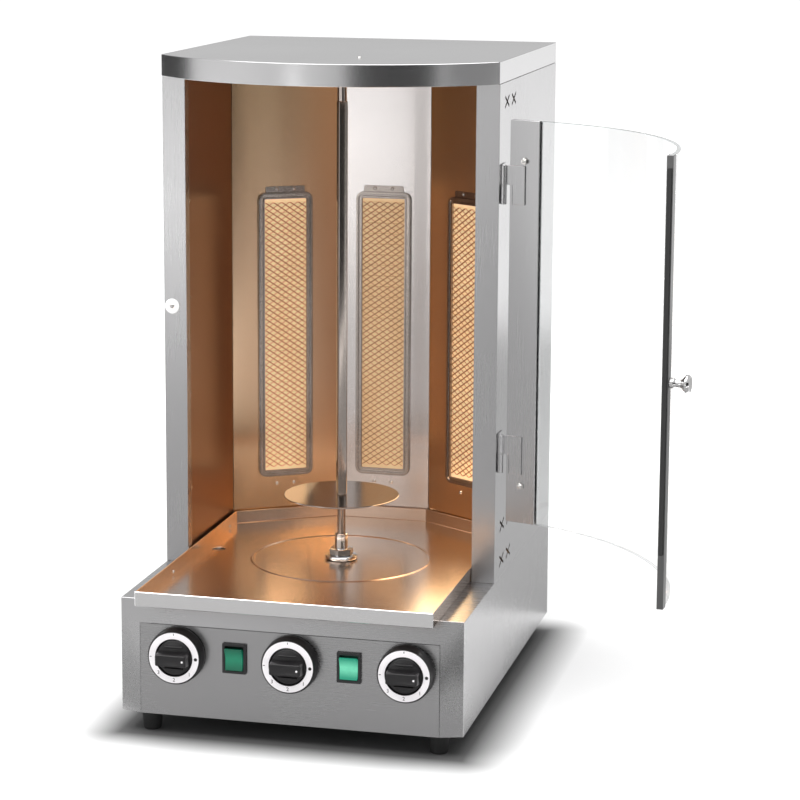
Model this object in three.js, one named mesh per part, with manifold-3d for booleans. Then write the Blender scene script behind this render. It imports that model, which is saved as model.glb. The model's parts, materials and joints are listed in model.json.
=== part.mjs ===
// Upright electric rotisserie oven: a stainless cabinet with three infrared heaters around a driven
// vertical spit, a curved glass door on the right, and a control base that carries a drip tray.
// Millimetres. X to the right, Y to the back, Z up. The origin is the centre of the base's underside.
import * as THREE from 'three';
import { mergeVertices } from 'three/addons/utils/BufferGeometryUtils.js';
import Module from 'manifold-3d';

const wasm = await Module();
wasm.setup();

// ---------------------------------------------------------------- driving dimensions
const WIDTH = 360;
const DEPTH = 468;
const SHEET = 1.2; // stainless sheet
const GAP = 0.3; // between pieces that touch
const BASE_HEIGHT = 119;
const BEVEL_WIDTH = 23; // sloped frame around the control panel
const BEVEL_SETBACK = 8;
const CABINET_FRONT = -80;
const CABINET_TOP = 641;
const CAP_HEIGHT = 23;
const CAP_BULGE = 84; // how far the cap's front arc stands ahead of the cabinet
const POST_WIDTH = 24.5;
const LINER_X = 158; // inner face of the side liners
const LINER_BEND = 91; // where the liners meet the angled reflectors
const BACK_Y = 158; // inner face of the back reflector
const BACK_HALF = 54;
const HEATER = { width: 63, height: 325, mesh: 48, meshHeight: 303, z: 334.5, window: 56, windowHeight: 316 };
const SPIT = { y: -25, bar: 10, pin: 4.3, plateZ: 190, plateR: 62, shoulder: 615, top: 643 };
const TRAY = { half: 154.8, front: -256, height: 15.6, ridge: 96 };
const CONTROL = { z: 66, knobs: [-116, 4, 124], rockers: [-56, 64] };
const BEZEL = { outer: 28.8, inner: 19, depth: 15 };
const DOOR = { axis: [184, -76], radius: 270, chord: 351.4, glass: 4, low: 186.5, high: 605.5, open: 124 };
const HINGE_Z = { lower: 238, upper: 519 };
const FOOT = { x: 152, y: 212, height: 22 };

const FRONT = -DEPTH / 2;
const REAR = DEPTH / 2;
const SIDE = WIDTH / 2;
const DECK = BASE_HEIGHT;
const CAP_TOP = CABINET_TOP + CAP_HEIGHT;
const rad = THREE.MathUtils.degToRad;

// ---------------------------------------------------------------- finishes
const finish = (color, roughness, metalness, extra = {}) =>
  new THREE.MeshStandardMaterial({ color, roughness, metalness, ...extra });
const steel = finish(0xb9b9bb, 0.34, 1);
const liner = finish(0xb08a6c, 0.3, 1);
const polished = finish(0xd8d8d8, 0.12, 1);
const black = finish(0x151515, 0.45, 0);
const white = finish(0xdedbe0, 0.4, 0);
const green = finish(0x18a06a, 0.25, 0);
const ceramic = finish(0xe8c79a, 0.9, 0);
const wire = finish(0x9a7a58, 0.4, 1);
const rubber = finish(0x1c1c1c, 0.8, 0);
const zinc = finish(0x8f9296, 0.5, 0.8);
const glass = finish(0xdfeeee, 0.05, 0, { transparent: true, opacity: 0.25 });

// ---------------------------------------------------------------- solids
const toSolid = (geometry) => {
  const bare = geometry.index ? geometry.toNonIndexed() : geometry.clone();
  for (const name of Object.keys(bare.attributes)) if (name !== 'position') bare.deleteAttribute(name);
  const merged = mergeVertices(bare, 1e-4);
  const mesh = new wasm.Mesh({
    numProp: 3,
    vertProperties: new Float32Array(merged.attributes.position.array),
    triVerts: new Uint32Array(merged.index.array),
  });
  return new wasm.Manifold(mesh);
};
const toGeometry = (solid) => {
  const mesh = solid.getMesh();
  const geometry = new THREE.BufferGeometry();
  geometry.setAttribute('position', new THREE.BufferAttribute(new Float32Array(mesh.vertProperties), 3));
  geometry.setIndex(new THREE.BufferAttribute(new Uint32Array(mesh.triVerts), 1));
  geometry.computeVertexNormals();
  return geometry;
};
const join = (...solids) => solids.reduce((sum, next) => sum.add(next));
const cut = (solid, ...tools) => tools.reduce((rest, tool) => rest.subtract(tool), solid);

// A block between two corners.
const block = ([x0, x1], [y0, y1], [z0, z1]) => {
  const box = new THREE.BoxGeometry(x1 - x0, y1 - y0, z1 - z0);
  return toSolid(box.translate((x0 + x1) / 2, (y0 + y1) / 2, (z0 + z1) / 2));
};
// A plan outline, as points or as a Shape, raised from z0 to z1.
const shapeOf = (points) => new THREE.Shape(points.map(([x, y]) => new THREE.Vector2(x, y)));
const raise = (outline, z0, z1, curveSegments = 12) => {
  const shape = Array.isArray(outline) ? shapeOf(outline) : outline;
  const options = { depth: z1 - z0, bevelEnabled: false, curveSegments };
  return toSolid(new THREE.ExtrudeGeometry(shape, options).translate(0, 0, z0));
};
// A turned piece about Z: the profile is a list of [radius, height], put in the order that faces it outwards.
const turn = (profile, segments = 24) => {
  const points = profile.map(([r, z]) => new THREE.Vector2(r, z));
  if (THREE.ShapeUtils.area(points) < 0) points.reverse();
  return toSolid(new THREE.LatheGeometry(points, segments).rotateX(Math.PI / 2));
};
const upright = (radius, z0, z1, segments = 24) =>
  turn([[0, z0], [radius, z0], [radius, z1], [0, z1]], segments);
// Turned along Z, then laid along Y so that its height runs to the back, and moved to (x, z).
const layAlongY = (solid, x, z) => solid.rotate([-90, 0, 0]).translate([x, 0, z]);
const rodAlongY = (radius, y0, y1, x, z, segments = 24) => layAlongY(upright(radius, y0, y1, segments), x, z);
// A rectangle in the XZ plane with rounded corners, from y0 to y1.
const roundedPanel = (width, height, corner, y0, y1, z) => {
  const w = width / 2 - corner;
  const h = height / 2 - corner;
  const shape = new THREE.Shape();
  shape.absarc(w, h, corner, 0, Math.PI / 2);
  shape.absarc(-w, h, corner, Math.PI / 2, Math.PI);
  shape.absarc(-w, -h, corner, Math.PI, Math.PI * 1.5);
  shape.absarc(w, -h, corner, Math.PI * 1.5, Math.PI * 2);
  return raise(shape, -y1, -y0, 4).rotate([90, 0, 0]).translate([0, 0, z]);
};

const oven = new THREE.Group();
const add = (name, solid, material, parent = oven) => {
  const mesh = new THREE.Mesh(toGeometry(solid), material);
  mesh.name = name;
  parent.add(mesh);
  return mesh;
};

// ---------------------------------------------------------------- base
// The base's outer form, drawn in by an inset so that the same form also makes the inside.
const baseForm = (inset, z0, back) => {
  const side = SIDE - inset;
  const front = FRONT + inset;
  const shoulder = FRONT + BEVEL_SETBACK + inset;
  const flank = SIDE - BEVEL_WIDTH - inset / 3;
  const top = BASE_HEIGHT - inset;
  const plan = [
    [-side, back], [-side, shoulder], [-flank, front], [flank, front], [side, shoulder], [side, back],
  ];
  const foot = top - BEVEL_WIDTH;
  const ahead = front - 20;
  const slope = [[shoulder, top], [front, foot], [ahead, foot], [ahead, top + 9], [shoulder, top + 9]];
  // The slope is drawn as (y, z), raised along X and stood up.
  const wedge = raise(slope, -SIDE - 5, SIDE + 5).rotate([90, 0, 90]);
  return cut(raise(plan, z0, top), wedge);
};

const PANEL_HALF = SIDE - BEVEL_WIDTH;
const PANEL_TOP = BASE_HEIGHT - BEVEL_WIDTH;
const spindleHole = upright(9, 100, 130);

add('base_shell', cut(
  baseForm(0, 0, REAR),
  baseForm(SHEET, -5, REAR + 5),
  block([-PANEL_HALF, PANEL_HALF], [FRONT - 5, FRONT + 12], [-1, PANEL_TOP]),
  spindleHole.translate([0, SPIT.y, 0]),
), steel);

const floorSide = SIDE - SHEET - GAP;
const floorFront = FRONT + SHEET + GAP;
const FLOOR_VENT = { rows: [-120, 95], length: 50, width: 5, pitch: 26, halfCount: 5 };
const floorVents = FLOOR_VENT.rows.flatMap((y) => {
  const slots = [];
  for (let i = -FLOOR_VENT.halfCount; i <= FLOOR_VENT.halfCount; i++) {
    const left = i * FLOOR_VENT.pitch - FLOOR_VENT.width / 2;
    slots.push(block([left, left + FLOOR_VENT.width], [y, y + FLOOR_VENT.length], [-5, 5]));
  }
  return slots;
});
add('base_floor', cut(raise([
  [-floorSide, REAR - SHEET - GAP], [-floorSide, floorFront + BEVEL_SETBACK + 1], [-PANEL_HALF, floorFront + 1],
  [PANEL_HALF, floorFront + 1], [floorSide, floorFront + BEVEL_SETBACK + 1], [floorSide, REAR - SHEET - GAP],
], 0, SHEET), ...floorVents), zinc);

const knobHoles = CONTROL.knobs.map((x) => rodAlongY(5, FRONT - 5, FRONT + 5, x, CONTROL.z));
const rockerHoles = CONTROL.rockers.map((x) => (
  block([x - 11, x + 11], [FRONT - 5, FRONT + 5], [CONTROL.z - 14, CONTROL.z + 14])
));
add('control_panel', cut(
  block([-PANEL_HALF + GAP, PANEL_HALF - GAP], [FRONT, FRONT + SHEET], [GAP, PANEL_TOP - GAP]),
  ...knobHoles, ...rockerHoles,
), steel);

const GLAND = { x: 120, z: 45 };
const backVents = (y, z, height, halfCount) => {
  const slots = [];
  for (let i = -halfCount; i <= halfCount; i++) {
    slots.push(block([i * 14 - 2, i * 14 + 2], [y - 5, y + 5], [z, z + height]));
  }
  return slots;
};
add('base_rear_panel', cut(
  block([-floorSide, floorSide], [REAR - SHEET, REAR], [0, DECK - SHEET - GAP]),
  rodAlongY(8, REAR - 5, REAR + 5, GLAND.x, GLAND.z),
  ...backVents(REAR, 40, 40, 4),
), steel);

for (const [row, y] of [['front', -FOOT.y], ['rear', FOOT.y]]) {
  for (const [hand, x] of [['left', -FOOT.x], ['right', FOOT.x]]) {
    const sole = -FOOT.height;
    const foot = turn([[0, sole], [9, sole], [10, sole + 2], [11.5, -GAP], [0, -GAP]], 16);
    add(`foot_${row}_${hand}`, foot.translate([x, y, 0]), rubber);
  }
}

// ---------------------------------------------------------------- cabinet
// Two slots that cross make one vent; they stand in a pair at the top and two pairs at the bottom.
const crossVent = (y, z) => [28, -28].map((tilt) => {
  const slot = block([-12, 12], [-12, 12], [-1.4, 1.4]).rotate([tilt, 0, 0]);
  return slot.translate([0, y, z]);
});
const VENT_Y = [-43, -8];
const VENT_Z = [136, 174, 621];
for (const [hand, s] of [['left', -1], ['right', 1]]) {
  const out = s * SIDE;
  const face = s * (SIDE - POST_WIDTH);
  const plan = [
    [out, REAR], [out, CABINET_FRONT], [face, CABINET_FRONT], [face, CABINET_FRONT + 13],
    [face + s * SHEET, CABINET_FRONT + 13], [face + s * SHEET, CABINET_FRONT + SHEET],
    [out - s * SHEET, CABINET_FRONT + SHEET], [out - s * SHEET, REAR],
  ];
  const slots = VENT_Z.flatMap((z) => VENT_Y.flatMap((y) => crossVent(y, z)));
  const vents = slots.map((slot) => slot.translate([out, 0, 0]));
  add(`${hand}_side_panel`, cut(raise(plan, DECK + GAP, CABINET_TOP), ...vents), steel);

  const inner = s * LINER_X;
  add(`${hand}_liner`, block([inner, inner + s * SHEET].sort((a, b) => a - b),
    [CABINET_FRONT + 14, LINER_BEND], [DECK + GAP, CABINET_TOP]), liner);
}

add('rear_cover', cut(
  block([-floorSide, floorSide], [REAR - SHEET, REAR], [DECK + GAP, CABINET_TOP]),
  ...backVents(REAR, 180, 60, 6), ...backVents(REAR, 500, 60, 6),
), steel);

// The cap's plan: straight sides and back, and one arc across the front.
const capPlan = (inset) => {
  const half = SIDE - inset;
  const corner = CABINET_FRONT - 2;
  const radius = (SIDE ** 2 + CAP_BULGE ** 2) / (2 * CAP_BULGE);
  const centre = corner - CAP_BULGE + radius;
  const angle = Math.asin(half / (radius - inset));
  const shape = new THREE.Shape();
  shape.moveTo(half, REAR - inset);
  shape.lineTo(-half, REAR - inset);
  shape.absarc(0, centre, radius - inset, -Math.PI / 2 - angle, -Math.PI / 2 + angle);
  return shape;
};
add('top_cover', cut(
  raise(capPlan(0), CABINET_TOP + GAP, CAP_TOP, 32),
  raise(capPlan(SHEET), CABINET_TOP - 5, CAP_TOP - SHEET, 32),
), steel);
const BUSH = { outer: 8, inner: 5.2, flange: 12 };
add('ceiling_plate', cut(
  raise(capPlan(SHEET + GAP), CABINET_TOP + 0.6, CABINET_TOP + 0.6 + SHEET, 32),
  upright(BUSH.outer + GAP, CABINET_TOP - 5, CABINET_TOP + 9).translate([0, SPIT.y, 0]),
), liner);
add('top_bearing', turn([
  [BUSH.inner, 634], [BUSH.outer, 634], [BUSH.outer, 638.5],
  [BUSH.flange, 638.5], [BUSH.flange, CABINET_TOP + GAP],
  [BUSH.outer, CABINET_TOP + GAP], [BUSH.outer, 656], [BUSH.inner, 656], [BUSH.inner, 634],
]).translate([0, SPIT.y, 0]), polished);

// ---------------------------------------------------------------- reflectors and heaters
// Each reflector is drawn flat in its own frame, local X along the panel and local Y to the outside.
const slant = Math.atan2(BACK_Y - LINER_BEND - 0.6, LINER_X - BACK_HALF);
const slantHalf = Math.hypot(BACK_Y - LINER_BEND - 0.6, LINER_X - BACK_HALF) / 2;
const middle = [(LINER_X + BACK_HALF) / 2, (BACK_Y + LINER_BEND + 0.6) / 2];
const bays = [
  { name: 'left', half: slantHalf - GAP, at: [-middle[0], middle[1]], turn: slant },
  { name: 'centre', half: BACK_HALF - GAP, at: [0, BACK_Y], turn: 0 },
  { name: 'right', half: slantHalf - GAP, at: middle, turn: -slant },
];
for (const bay of bays) {
  const station = new THREE.Group();
  station.position.set(bay.at[0], bay.at[1], 0);
  station.rotation.z = bay.turn;
  oven.add(station);
  const { width, height, mesh, meshHeight, z, window, windowHeight } = HEATER;
  add(`reflector_${bay.name}`, cut(
    block([-bay.half, bay.half], [0, SHEET], [DECK + GAP, CABINET_TOP]),
    roundedPanel(window, windowHeight, 3, -5, 5, z),
  ), liner, station);
  add(`heater_frame_${bay.name}`, cut(
    roundedPanel(width, height, 8, -4, -GAP, z),
    roundedPanel(mesh, meshHeight, 4, -9, 5, z),
  ), polished, station);
  add(`heater_guard_${bay.name}`, roundedPanel(mesh - 0.6, meshHeight - 0.6, 4, -2.4, -1.4, z), wire, station);
  add(`heater_plate_${bay.name}`, roundedPanel(window - 2, windowHeight - 2, 3, 0.5, 14, z), ceramic, station);
}

// ---------------------------------------------------------------- drip tray
const trayPlan = (inset) => {
  const half = TRAY.half - inset;
  const bend = LINER_BEND - 1 - inset * 0.6;
  const back = BACK_Y - 2.4 - inset;
  const backHalf = BACK_HALF - 1.2 - inset * 0.6;
  const front = TRAY.front + inset;
  return [[-half, front], [half, front], [half, bend], [backHalf, back], [-backHalf, back], [-half, bend]];
};
const trayFloor = DECK + GAP + SHEET;
const ridge = turn([
  [TRAY.ridge - 3, trayFloor - 0.4], [TRAY.ridge + 3, trayFloor - 0.4], [TRAY.ridge + 1, trayFloor + 0.8],
  [TRAY.ridge - 1, trayFloor + 0.8], [TRAY.ridge - 3, trayFloor - 0.4],
], 48);
add('drip_tray', cut(
  join(
    cut(
      raise(trayPlan(0), DECK + GAP, DECK + TRAY.height),
      raise(trayPlan(SHEET), trayFloor, DECK + TRAY.height + 5),
    ),
    ridge.translate([0, SPIT.y, 0]),
  ),
  spindleHole.translate([0, SPIT.y, 0]),
  upright(7.5, 100, 130, 20).translate([-139.5, -22.5, 0]),
), steel);

// ---------------------------------------------------------------- drive and spit
const GEARBOX_TOP = DECK - SHEET - GAP;
add('gearbox', cut(
  block([-32, 32], [SPIT.y - 30, SPIT.y + 30], [88, GEARBOX_TOP]),
  upright(5.6, 98, 130).translate([0, SPIT.y, 0]),
), zinc);
const motor = turn([[0, 30], [20, 30], [24, 34], [24, 88 - GAP], [0, 88 - GAP]]);
add('gear_motor', motor.translate([0, SPIT.y, 0]), zinc);

const SOCKET_TOP = 148.5;
add('drive_socket', turn([
  [0, 100], [5, 100], [5, DECK], [6.5, DECK], [6.5, 121.2], [17.7, 121.2], [17.7, 124.6], [15.5, 126],
  [7, 126], [7, SOCKET_TOP], [4.7, SOCKET_TOP], [4.7, 130], [0, 130],
]).translate([0, SPIT.y, 0]), polished);

const { bar, pin, plateZ, plateR, shoulder } = SPIT;
const spitBar = block([-bar / 2, bar / 2], [-bar / 2, bar / 2], [plateZ + 2, shoulder]).rotate([0, 0, 30]);
const spitPins = turn([
  [0, 130.5], [pin, 130.5], [pin, plateZ - 4], [8, plateZ - 4], [8, plateZ - GAP], [pin, plateZ - GAP],
  [pin, shoulder - 4], [4.8, shoulder - 4], [4.8, SPIT.top - 1], [3.8, SPIT.top], [0, SPIT.top],
], 16);
add('spit_rod', join(spitPins, spitBar).translate([0, SPIT.y, 0]), polished);
add('meat_plate', turn([
  [pin + GAP, plateZ], [plateR, plateZ], [plateR, plateZ + 1.5], [pin + GAP, plateZ + 1.5], [pin + GAP, plateZ],
], 48).translate([0, SPIT.y, 0]), polished);

// ---------------------------------------------------------------- controls
CONTROL.knobs.forEach((x, i) => {
  const face = FRONT - GAP - BEZEL.depth;
  add(`dial_ring_${i + 1}`, layAlongY(turn([
    [BEZEL.inner, FRONT - GAP], [BEZEL.outer, FRONT - GAP], [BEZEL.outer, face + 1], [BEZEL.outer - 1, face],
    [BEZEL.inner, face], [BEZEL.inner, FRONT - GAP],
  ], 32), x, CONTROL.z), white);
  const body = rodAlongY(BEZEL.inner - 0.5, face + 2, face + 6, x, CONTROL.z, 32);
  const grip = block([x - 18, x + 18], [face - 14, face + 4], [CONTROL.z - 7.5, CONTROL.z + 7.5]);
  const round = rodAlongY(18.3, face - 20, face + 8, x, CONTROL.z, 32);
  const shaft = rodAlongY(4, face + 4, FRONT + 0.8, x, CONTROL.z, 16);
  add(`knob_${i + 1}`, join(body, grip.intersect(round), shaft), black);
  add(`selector_switch_${i + 1}`, join(
    block([x - 18, x + 18], [FRONT + 1.5, FRONT + 22], [CONTROL.z - 18, CONTROL.z + 18]),
    rodAlongY(14, FRONT + 20, FRONT + 32, x, CONTROL.z, 16),
  ), black);
});

const ROCKER_TILT = 8;
CONTROL.rockers.forEach((x, i) => {
  const rim = block([x - 12.5, x + 12.5], [FRONT - 3, FRONT - GAP], [CONTROL.z - 15.7, CONTROL.z + 15.7]);
  const body = block([x - 10.7, x + 10.7], [FRONT - 1, FRONT + 22], [CONTROL.z - 13.7, CONTROL.z + 13.7]);
  const pocket = block([x - 9.5, x + 9.5], [FRONT - 9, FRONT + 9], [CONTROL.z - 12.6, CONTROL.z + 12.6]);
  add(`rocker_housing_${i + 1}`, cut(join(rim, body), pocket), black);

  // Seen from the side the key is a shallow V; its pivot is the mesh's own origin.
  const side = [[4, -7], [4, 7], [-2, 11.5], [-5, 11.5], [-2.6, 0], [-5, -11.5], [-2, -11.5]];
  const key = raise(side, -9.1, 9.1).rotate([90, 0, 90]);
  const rocker = add(`rocker_${i + 1}`, key, green);
  rocker.position.set(x, FRONT - 1, CONTROL.z);
  rocker.rotation.x = rad(ROCKER_TILT);
});

add('cable_gland', layAlongY(turn([
  [4, REAR - 9], [7.6, REAR - 9], [7.6, REAR + GAP], [11, REAR + GAP], [11, REAR + 7], [8, REAR + 9],
  [7, REAR + 16], [4, REAR + 16], [4, REAR - 9],
]), GLAND.x, GLAND.z), black);

// ---------------------------------------------------------------- door
// The door is drawn shut, about its hinge axis, and its group turns it open.
const door = new THREE.Group();
door.position.set(DOOR.axis[0], DOOR.axis[1], 0);
door.rotation.z = rad(DOOR.open);
oven.add(door);

const hingeEdge = [-0.7, -8]; // where the middle of the glass starts, from the hinge axis
const halfAngle = Math.asin(DOOR.chord / 2 / DOOR.radius);
const firstAngle = rad(-89) + halfAngle;
const lastAngle = rad(-89) - halfAngle;
const arcCentre = [
  hingeEdge[0] - DOOR.radius * Math.cos(firstAngle),
  hingeEdge[1] - DOOR.radius * Math.sin(firstAngle),
];
// A curved strip that follows the glass: offsets from its middle, angles from first to last, and heights.
const curved = (inner, outer, from, to, z0, z1, segments = 3) => {
  const shape = new THREE.Shape();
  shape.absarc(arcCentre[0], arcCentre[1], DOOR.radius + outer, from, to, true);
  shape.absarc(arcCentre[0], arcCentre[1], DOOR.radius + inner, to, from, false);
  return raise(shape, z0, z1, segments);
};
const alongArc = (length) => length / DOOR.radius;
const halfGlass = DOOR.glass / 2;
const clampEnd = firstAngle - alongArc(34);
add('door_glass', curved(-halfGlass, halfGlass, firstAngle, lastAngle, DOOR.low, DOOR.high, 20), glass, door);
const CLAMP = { outer: halfGlass + 1.8, inner: halfGlass + 1.4 };
const clampStrip = (inner, outer) => curved(inner, outer, firstAngle, clampEnd, DOOR.low, DOOR.high);
add('door_clamp_outer', clampStrip(halfGlass + GAP, CLAMP.outer), steel, door);
add('door_clamp_inner', clampStrip(-CLAMP.inner, -halfGlass - GAP), steel, door);
add('door_edge_profile', cut(
  curved(-3.1, 3.1, lastAngle + alongArc(8), lastAngle - alongArc(2.5), DOOR.low, DOOR.high, 1),
  curved(-2.3, 2.3, lastAngle + alongArc(12), lastAngle - alongArc(0.5), DOOR.low - 5, DOOR.high + 5, 1),
), polished, door);
const sealStrip = curved(-2, 2, lastAngle - alongArc(2.9), lastAngle - alongArc(4.9), 238, 594, 1);
add('door_seal', sealStrip, rubber, door);

const KNOB_Z = 398;
const handle = turn([
  [0, 3.4], [5, 3.4], [5, 7], [3.5, 9], [4, 14], [8.5, 18], [9, 20], [7.5, 22.5], [0, 22.5],
]);
const handleAngle = lastAngle + alongArc(3);
add('door_knob', handle.rotate([0, 90, 0]).translate([DOOR.radius, 0, 0])
  .rotate([0, 0, THREE.MathUtils.radToDeg(handleAngle)])
  .translate([arcCentre[0], arcCentre[1], KNOB_Z]), polished, door);

add('door_catch', layAlongY(turn([
  [0, CABINET_FRONT - 2.6], [3, CABINET_FRONT - 2.6], [3.6, CABINET_FRONT - 1.8], [7, CABINET_FRONT - 1.8],
  [8, CABINET_FRONT - 1], [8, CABINET_FRONT - GAP], [0, CABINET_FRONT - GAP],
]), -SIDE + 9, KNOB_Z), white);

// Two butt hinges: the lower knuckle and its pin stay on the side panel, the upper one turns with the door.
const KNUCKLE = 3.2;
for (const [where, z] of Object.entries(HINGE_Z)) {
  const half = 20;
  const fixedLeaf = block([-3.7, -2.5], [0, 24], [z, z + 40]);
  const doorSpace = block([-6, -2.4], [-4, 5], [z + half - GAP, z + 41]);
  add(`hinge_leaf_${where}`, join(
    cut(fixedLeaf, doorSpace),
    upright(KNUCKLE, z, z + half - GAP, 16),
    upright(1.4, z + half - 1, z + 39.5, 12),
  ).translate([DOOR.axis[0], DOOR.axis[1], 0]), steel);
  const swing = Math.atan2(-arcCentre[1], -arcCentre[0]);
  const leaf = cut(
    join(
      curved(-CLAMP.inner - GAP - SHEET, -CLAMP.inner - GAP, swing, swing - alongArc(24), z, z + 40, 2),
      upright(KNUCKLE, z + half, z + 40, 16),
    ),
    block([-7, 7], [-7, 7], [z - 1, z + half]),
    upright(1.8, z - 1, z + 41, 12),
  );
  add(`door_hinge_${where}`, leaf, steel, door);
}

export default oven;
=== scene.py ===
# %% [markdown]
# # A rotisserie oven, one piece at a time
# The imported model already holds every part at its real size: panels, heaters, spit, door and knobs.
# This script gives those parts their surface. It adds what a plain solid lacks, such as folded
# edges, pressed rims, mesh, screws and print, and it makes one material for each real finish.
# Everything is in metres, in the model's own frame: X to the right, Y to the back and Z up.

import json
import math

import bmesh
import bpy
from mathutils import Matrix, Vector

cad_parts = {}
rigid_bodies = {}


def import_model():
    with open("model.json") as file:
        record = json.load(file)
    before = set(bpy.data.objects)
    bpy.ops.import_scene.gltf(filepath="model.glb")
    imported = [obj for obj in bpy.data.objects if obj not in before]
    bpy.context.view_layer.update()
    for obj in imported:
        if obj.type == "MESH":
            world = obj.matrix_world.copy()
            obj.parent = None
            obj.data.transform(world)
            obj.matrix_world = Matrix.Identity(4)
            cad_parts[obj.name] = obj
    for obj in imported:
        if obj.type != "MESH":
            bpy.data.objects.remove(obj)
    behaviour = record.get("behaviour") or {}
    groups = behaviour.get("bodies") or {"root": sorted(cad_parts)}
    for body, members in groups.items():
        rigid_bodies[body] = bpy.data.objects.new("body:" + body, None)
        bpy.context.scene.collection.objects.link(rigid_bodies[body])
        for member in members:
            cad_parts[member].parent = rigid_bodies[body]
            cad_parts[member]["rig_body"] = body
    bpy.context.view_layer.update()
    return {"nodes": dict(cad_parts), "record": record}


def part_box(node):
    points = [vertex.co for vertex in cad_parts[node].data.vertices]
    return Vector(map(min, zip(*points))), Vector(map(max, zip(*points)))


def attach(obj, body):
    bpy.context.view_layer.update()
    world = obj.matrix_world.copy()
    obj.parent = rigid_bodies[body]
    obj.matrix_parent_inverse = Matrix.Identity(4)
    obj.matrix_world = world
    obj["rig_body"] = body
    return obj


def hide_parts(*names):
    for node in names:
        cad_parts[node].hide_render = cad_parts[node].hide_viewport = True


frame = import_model()
mm = 0.001

# %% [markdown]
# ## The camera
# The oven is seen from its right front, a little from above, through a long lens. A camera looks
# along its own -Z, so its three axes are worked out from the heading, the pitch and a trace of roll,
# and written as the columns of its matrix. A small downward shift of the frame keeps the posts
# nearly upright.

# %% Camera
CAMERA_PLACE = Vector((0.7034, -2.6708, 0.8586))
HEADING, PITCH, ROLL = math.radians(13.593), math.radians(9.877), math.radians(0.347)

level_right = Vector((math.cos(HEADING), math.sin(HEADING), 0))
forward = Vector((-math.sin(HEADING) * math.cos(PITCH),
                  math.cos(HEADING) * math.cos(PITCH),
                  -math.sin(PITCH)))
level_up = level_right.cross(forward)
right = level_right * math.cos(ROLL) + level_up * math.sin(ROLL)
up = level_up * math.cos(ROLL) - level_right * math.sin(ROLL)

camera_data = bpy.data.cameras.new("camera")
camera_data.sensor_width = 36
camera_data.lens = 117.4
camera_data.shift_y = -0.1
camera_data.clip_end = 50
camera = bpy.data.objects.new("camera", camera_data)
bpy.context.scene.collection.objects.link(camera)
turn = Matrix((right, up, -forward)).transposed()
camera.matrix_world = Matrix.Translation(CAMERA_PLACE) @ turn.to_4x4()
bpy.context.scene.camera = camera
print("camera looks along", [round(x, 3) for x in forward])

# %% [markdown]
# ## Shader sums as plain Python
# A material is a graph of nodes, and a graph is slow to read. `Wire` wraps one output socket, so that
# `streaks * 0.2 + 0.3` adds its own Math nodes, and `Finish.node` adds any other node in one line.

# %% Wire and Finish
class Wire:
    """One output socket that can be added, subtracted and multiplied like a number."""

    def __init__(self, finish, socket):
        self.finish, self.socket = finish, socket

    def math(self, operation, *values):
        return self.finish.node("ShaderNodeMath", {"operation": operation}, dict(enumerate(values)))

    def __add__(self, other):
        return self.math("ADD", self, other)

    def __sub__(self, other):
        return self.math("SUBTRACT", self, other)

    def __rsub__(self, other):
        return self.math("SUBTRACT", other, self)

    def __mul__(self, other):
        return self.math("MULTIPLY", self, other)

    __radd__, __rmul__ = __add__, __mul__

    def fade(self, low, high):
        """0 at low and below, 1 at high and above."""
        sockets = {"Value": self, "From Min": low, "From Max": high}
        return self.finish.node("ShaderNodeMapRange", {"clamp": True}, sockets)


class Finish:
    """A material with one Principled shader, whose sockets are set by name."""

    def __init__(self, name, **sockets):
        self.material = bpy.data.materials.new(name)
        self.material.use_nodes = True
        self.tree = self.material.node_tree
        self.shader = self.tree.nodes["Principled BSDF"]
        self.set(**sockets)

    def set(self, **sockets):
        for name, value in sockets.items():
            label = name.replace("_", " ").title().replace("Ior", "IOR")
            self.plug(self.shader.inputs[label], value)
        return self

    def plug(self, socket, value):
        if isinstance(value, Wire):
            self.tree.links.new(value.socket, socket)
            return
        if isinstance(value, tuple) and len(socket.default_value) == 4:
            value = (*value, 1)
        socket.default_value = value

    def node(self, kind, settings=None, inputs=None, output=0):
        made = self.tree.nodes.new(kind)
        for name, value in (settings or {}).items():
            setattr(made, name, value)
        for name, value in (inputs or {}).items():
            self.plug(made.inputs[name], value)
        return Wire(self, made.outputs[output])

    def place(self, scale=(1, 1, 1)):
        """The piece's own coordinates in metres, stretched by scale."""
        coordinates = self.node("ShaderNodeTexCoord", output="Object")
        return self.node("ShaderNodeMapping", {}, {"Vector": coordinates, "Scale": scale})

    def axis(self, letter):
        return self.node("ShaderNodeSeparateXYZ", {}, {0: self.place()}, output=letter)

    def noise(self, scale, detail=2.0):
        where = self.place(scale if isinstance(scale, tuple) else (scale,) * 3)
        sockets = {"Vector": where, "Scale": 1.0, "Detail": detail, "Roughness": 0.5}
        return self.node("ShaderNodeTexNoise", {}, sockets)

    def mix(self, amount, first, second):
        """A colour between two colours."""
        sockets = {0: amount, 6: first, 7: second}
        return self.node("ShaderNodeMix", {"data_type": "RGBA"}, sockets, output=2)

    def bump(self, height, strength, distance):
        sockets = {"Height": height, "Strength": strength, "Distance": distance}
        return self.node("ShaderNodeBump", {}, sockets)


# %% [markdown]
# ## Brushed stainless
# Brushed sheet is polished metal with thousands of fine parallel scratches. The scratches are noise
# squeezed hard across the grain and left long along it, with wider bands of the same kind for the
# colour. They carry a little roughness and a little bump, over slow smudges from handling. A trace
# of anisotropy stretches the reflections. The grain runs upright on the side panels, across on the
# base's front and from front to back on the cap.

# %% Brushed steel
ALONG_GRAIN, ACROSS_GRAIN = 14.0, 1700.0


def grain_scale(direction, across=ACROSS_GRAIN, along=ALONG_GRAIN):
    """A stretch that runs the scratches along X, Y or Z."""
    return tuple(along if letter == direction else across for letter in "XYZ")


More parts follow.
